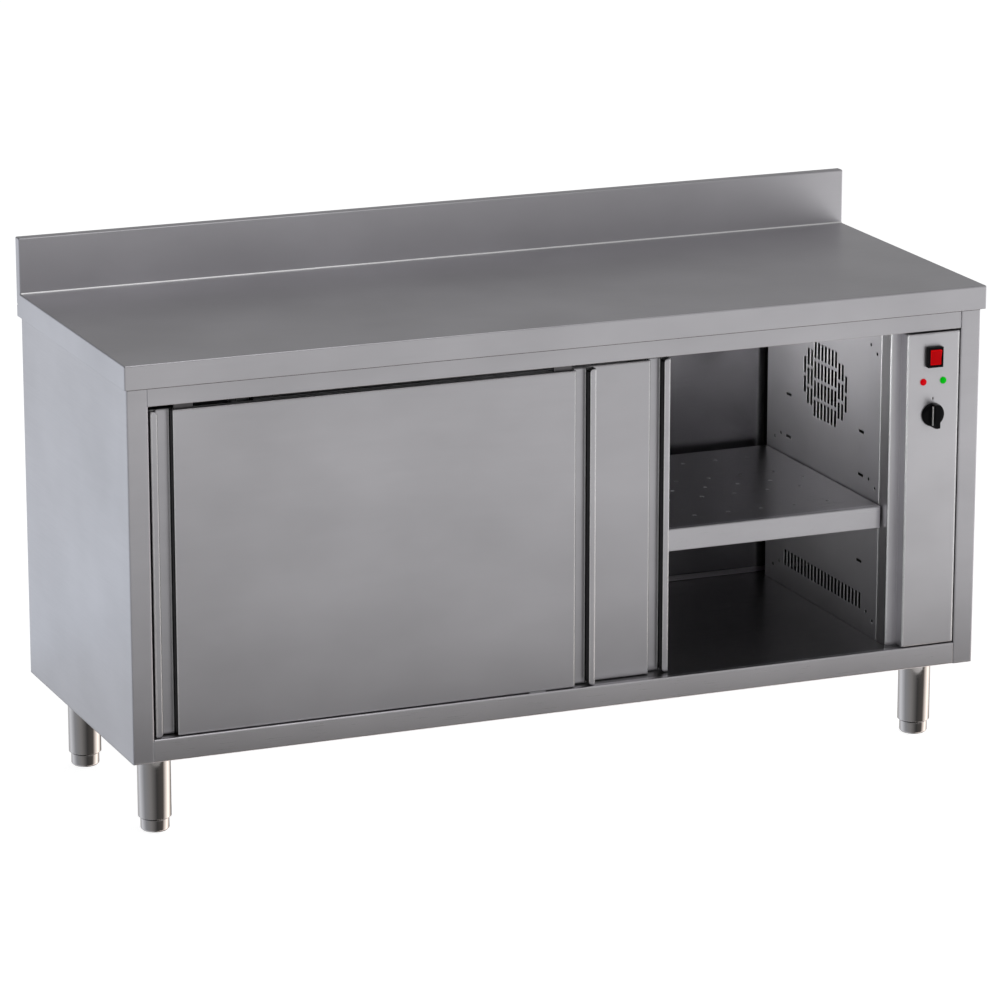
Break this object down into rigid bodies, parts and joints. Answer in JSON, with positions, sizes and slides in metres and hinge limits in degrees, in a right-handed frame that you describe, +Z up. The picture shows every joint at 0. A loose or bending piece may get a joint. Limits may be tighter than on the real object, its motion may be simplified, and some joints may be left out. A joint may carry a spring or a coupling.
{
  "type": "plate warmer cabinet",
  "caption": "Heated stainless cupboard with overlapping sliding doors, an inner shelf, a worktop with an upstand, a side control panel and levelling legs.",
  "frame": {"origin": "on the floor, below the middle of the worktop", "axes": "+X to the right along the worktop, +Y from the doors to the back, +Z up"},
  "size_m": [1.6, 0.6194, 0.95],
  "materials": {
    "stainless_satin": "satin brushed stainless steel",
    "stainless_inner": "satin stainless steel of the heated space",
    "zinc_steel": "zinc-plated steel",
    "stainless_tube": "ground stainless tube",
    "foot_steel": "turned stainless steel",
    "track_aluminium": "extruded aluminium",
    "black_rubber": "black rubber",
    "white_nylon": "white nylon",
    "black_plastic": "black moulded plastic",
    "red_rocker": "red rocker",
    "red_lens": "red lens",
    "green_lens": "green lens",
    "knob_silver": "silver strips in the grip of the knob",
    "thermostat_grey": "plated casing",
    "motor_grey": "painted motor casing",
    "element_sheath": "heat-tinted sheath",
    "terminal_cream": "cream moulded plastic",
    "mineral_wool": "mineral wool",
    "screw_steel": "stainless pan heads"
  },
  "bodies": {
    "cabinet": {"back_panel": "stainless_satin", "back_wall": "stainless_inner", "base_panel": "zinc_steel", "bottom_guide": "stainless_inner", "cable_gland": "black_plastic", "ceiling_panel": "stainless_inner", "control_baffle": "stainless_inner", "control_panel": "stainless_satin", "door_post": "stainless_satin", "door_stops": "black_rubber", "door_track": "track_aluminium", "element_clips": "zinc_steel", "fan_motor": "motor_grey", "fan_plate": "zinc_steel", "floor_pan": "stainless_satin", "floor_ribs": "zinc_steel", "green_lamp": "green_lens", "heating_element": "element_sheath", "inner_wall_left": "stainless_inner", "inner_wall_right": "stainless_inner", "insulation": "mineral_wool", "leg_front_left": "stainless_tube", "leg_front_right": "stainless_tube", "leg_inserts": "black_plastic", "leg_rail_left": "zinc_steel", "leg_rail_right": "zinc_steel", "leg_rear_left": "stainless_tube", "leg_rear_right": "stainless_tube", "panel_screws": "screw_steel", "red_lamp": "red_lens", "shelf": "stainless_inner", "shelf_rib": "stainless_inner", "shelf_supports": "stainless_inner", "side_panel_left": "stainless_satin", "side_panel_right": "stainless_satin", "switch_housing": "black_plastic", "terminal_block": "terminal_cream", "thermostat": "thermostat_grey", "top_rail": "stainless_satin", "worktop": "stainless_satin", "worktop_ribs": "zinc_steel"},
    "front_door": {"front_door_skin": "stainless_satin", "front_door_liner": "stainless_satin", "front_door_hangers": "zinc_steel"},
    "rear_door": {"rear_door_skin": "stainless_satin", "rear_door_liner": "stainless_satin", "rear_door_hangers": "zinc_steel"},
    "front_wheels_left": {"front_door_wheels_left": "white_nylon"},
    "front_wheels_right": {"front_door_wheels_right": "white_nylon"},
    "rear_wheels_left": {"rear_door_wheels_left": "white_nylon"},
    "rear_wheels_right": {"rear_door_wheels_right": "white_nylon"},
    "rocker": {"switch_rocker": "red_rocker"},
    "knob": {"thermostat_knob": "black_plastic", "knob_line": "knob_silver"},
    "impeller": {"fan_impeller": "zinc_steel"},
    "foot_front_left": {"foot_front_left": "foot_steel"},
    "foot_front_right": {"foot_front_right": "foot_steel"},
    "foot_rear_left": {"foot_rear_left": "foot_steel"},
    "foot_rear_right": {"foot_rear_right": "foot_steel"}
  },
  "joints": [
    {"name": "front_door_slide", "type": "slide", "parent": "cabinet", "child": "front_door", "axis": [1, 0, 0], "range_m": [0, 0.5898]},
    {"name": "rear_door_slide", "type": "slide", "parent": "cabinet", "child": "rear_door", "axis": [1, 0, 0], "range_m": [-0.1496, 0.4207]},
    {"name": "front_wheels_left_spin", "type": "hinge", "parent": "front_door", "child": "front_wheels_left", "pos_m": [-0.6903, -0.275, 0.7898], "axis": [0, 1, 0], "continuous": true},
    {"name": "front_wheels_right_spin", "type": "hinge", "parent": "front_door", "child": "front_wheels_right", "pos_m": [-0.0033, -0.275, 0.7898], "axis": [0, 1, 0], "continuous": true},
    {"name": "rear_wheels_left_spin", "type": "hinge", "parent": "rear_door", "child": "rear_wheels_left", "pos_m": [-0.5407, -0.253, 0.7898], "axis": [0, 1, 0], "continuous": true},
    {"name": "rear_wheels_right_spin", "type": "hinge", "parent": "rear_door", "child": "rear_wheels_right", "pos_m": [0.1463, -0.253, 0.7898], "axis": [0, 1, 0], "continuous": true},
    {"name": "rocker_tilt", "type": "hinge", "parent": "cabinet", "child": "rocker", "pos_m": [0.703, -0.296, 0.728], "axis": [-1, 0, 0], "range_deg": [0, 12]},
    {"name": "knob_turn", "type": "hinge", "parent": "cabinet", "child": "knob", "pos_m": [0.703, -0.3, 0.6225], "axis": [0, 1, 0], "range_deg": [0, 300]},
    {"name": "fan_spin", "type": "hinge", "parent": "cabinet", "child": "impeller", "pos_m": [0.68, -0.003, 0.619], "axis": [1, 0, 0], "continuous": true},
    {"name": "foot_front_left_level", "type": "slide", "parent": "cabinet", "child": "foot_front_left", "axis": [0, 0, 1], "range_m": [-0.03, 0.004]},
    {"name": "foot_front_right_level", "type": "slide", "parent": "cabinet", "child": "foot_front_right", "axis": [0, 0, 1], "range_m": [-0.03, 0.004]},
    {"name": "foot_rear_left_level", "type": "slide", "parent": "cabinet", "child": "foot_rear_left", "axis": [0, 0, 1], "range_m": [-0.03, 0.004]},
    {"name": "foot_rear_right_level", "type": "slide", "parent": "cabinet", "child": "foot_rear_right", "axis": [0, 0, 1], "range_m": [-0.03, 0.004]}
  ],
  "couplings": [
    {"joint": "front_wheels_left_spin", "follows": "front_door_slide", "rad_per_m": 100},
    {"joint": "front_wheels_right_spin", "follows": "front_door_slide", "rad_per_m": 100},
    {"joint": "rear_wheels_left_spin", "follows": "rear_door_slide", "rad_per_m": 100},
    {"joint": "rear_wheels_right_spin", "follows": "rear_door_slide", "rad_per_m": 100}
  ]
}
